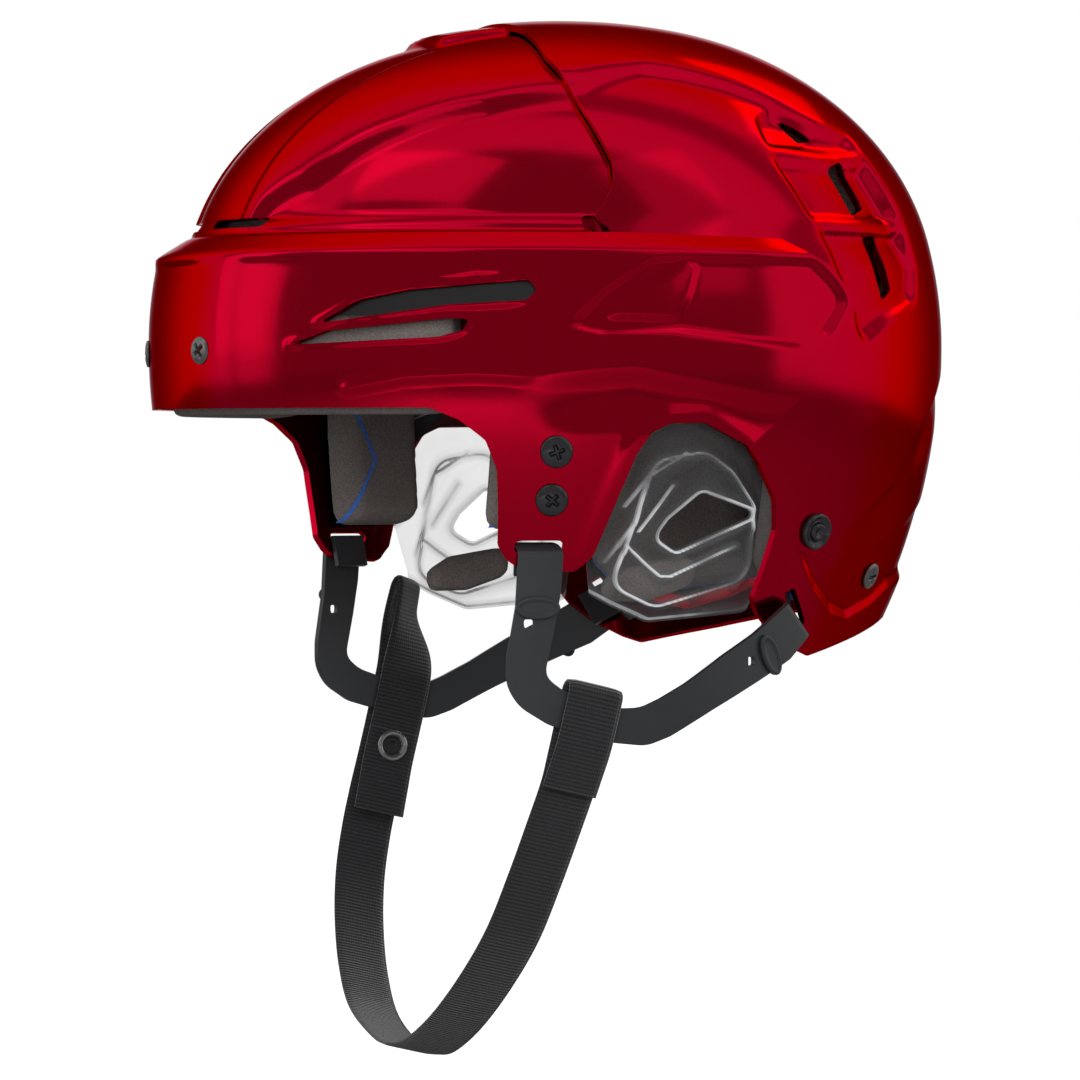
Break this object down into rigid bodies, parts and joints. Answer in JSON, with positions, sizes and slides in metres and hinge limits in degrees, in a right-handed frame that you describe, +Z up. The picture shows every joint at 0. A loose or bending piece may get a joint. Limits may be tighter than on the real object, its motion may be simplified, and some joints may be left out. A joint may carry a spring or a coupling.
{
  "type": "ice hockey helmet",
  "caption": "Two-piece adjustable hockey helmet with foam liner, clear ear guards, ear loops and a snap chin strap.",
  "frame": {"origin": "middle of the head opening at the level of the brow edge, where the head enters", "axes": "-Y is the wearer's front, +Z is up, +X is the wearer's left"},
  "size_m": [0.2184, 0.2785, 0.3541],
  "materials": {
    "shell": "deep crimson, high gloss",
    "foam": "closed-cell foam, dark grey-brown, fine speckle",
    "blue_foam": "closed-cell foam, blue",
    "clear_plastic": "clear moulded plastic",
    "loop_plastic": "dark grey, satin",
    "webbing": "black ribbed webbing",
    "snap_metal": "dark polished metal",
    "black_metal": "gloss black",
    "steel": "grey plated steel",
    "black_plastic": "gloss black"
  },
  "bodies": {
    "front": {"front_shell": "shell", "brow_pad": "foam", "temple_pad_left": "foam", "temple_pad_right": "foam", "temple_stripe_left": "blue_foam", "temple_stripe_right": "blue_foam", "front_crown_pad": "foam", "vent_insert_left": "black_plastic", "vent_insert_right": "black_plastic", "side_screws": "black_metal", "side_t_nuts": "steel", "brow_screws": "steel", "brow_t_nuts": "steel", "ear_loop_left": "loop_plastic", "ear_loop_right": "loop_plastic", "front_loop_buttons": "loop_plastic", "rear_loop_buttons": "loop_plastic"},
    "rear": {"rear_shell": "shell", "adjuster_arm_left": "black_plastic", "adjuster_arm_right": "black_plastic", "ear_guard_left": "clear_plastic", "ear_guard_right": "clear_plastic", "guard_pad_left": "foam", "guard_pad_right": "foam", "rear_crown_pad": "foam", "occipital_pad": "foam", "rear_blue_layer_left": "blue_foam", "rear_blue_layer_right": "blue_foam", "rear_side_pad_left": "foam", "rear_side_pad_right": "foam", "rear_screws": "steel", "rear_t_nuts": "steel", "strap_snap_left": "black_plastic", "strap_snap_right": "black_plastic", "snap_washers": "steel"},
    "chin": {"chin_strap": "webbing", "left_wrap": "webbing", "right_loop": "webbing", "snap_stud": "snap_metal", "snap_post": "snap_metal"},
    "flap": {"snap_flap": "webbing", "snap_cap": "snap_metal", "snap_socket": "snap_metal"}
  },
  "joints": [
    {"name": "size_slide", "type": "slide", "parent": "front", "child": "rear", "axis": [0, -1, 0], "range_m": [0, 0.008], "deforming": ["ear_loop_left", "ear_loop_right"]},
    {"name": "chin_swing", "type": "hinge", "parent": "front", "child": "chin", "pos_m": [0.09968, -0.0241, -0.1011], "axis": [0.9991, -0.0404, 0.011], "range_deg": [-30, 45], "deforming": ["left_wrap", "right_loop"]},
    {"name": "flap_swing", "type": "hinge", "parent": "chin", "child": "flap", "pos_m": [-0.09703, -0.01894, -0.11493], "axis": [-0.0419, -0.9715, 0.2332], "range_deg": [0, 100]}
  ]
}
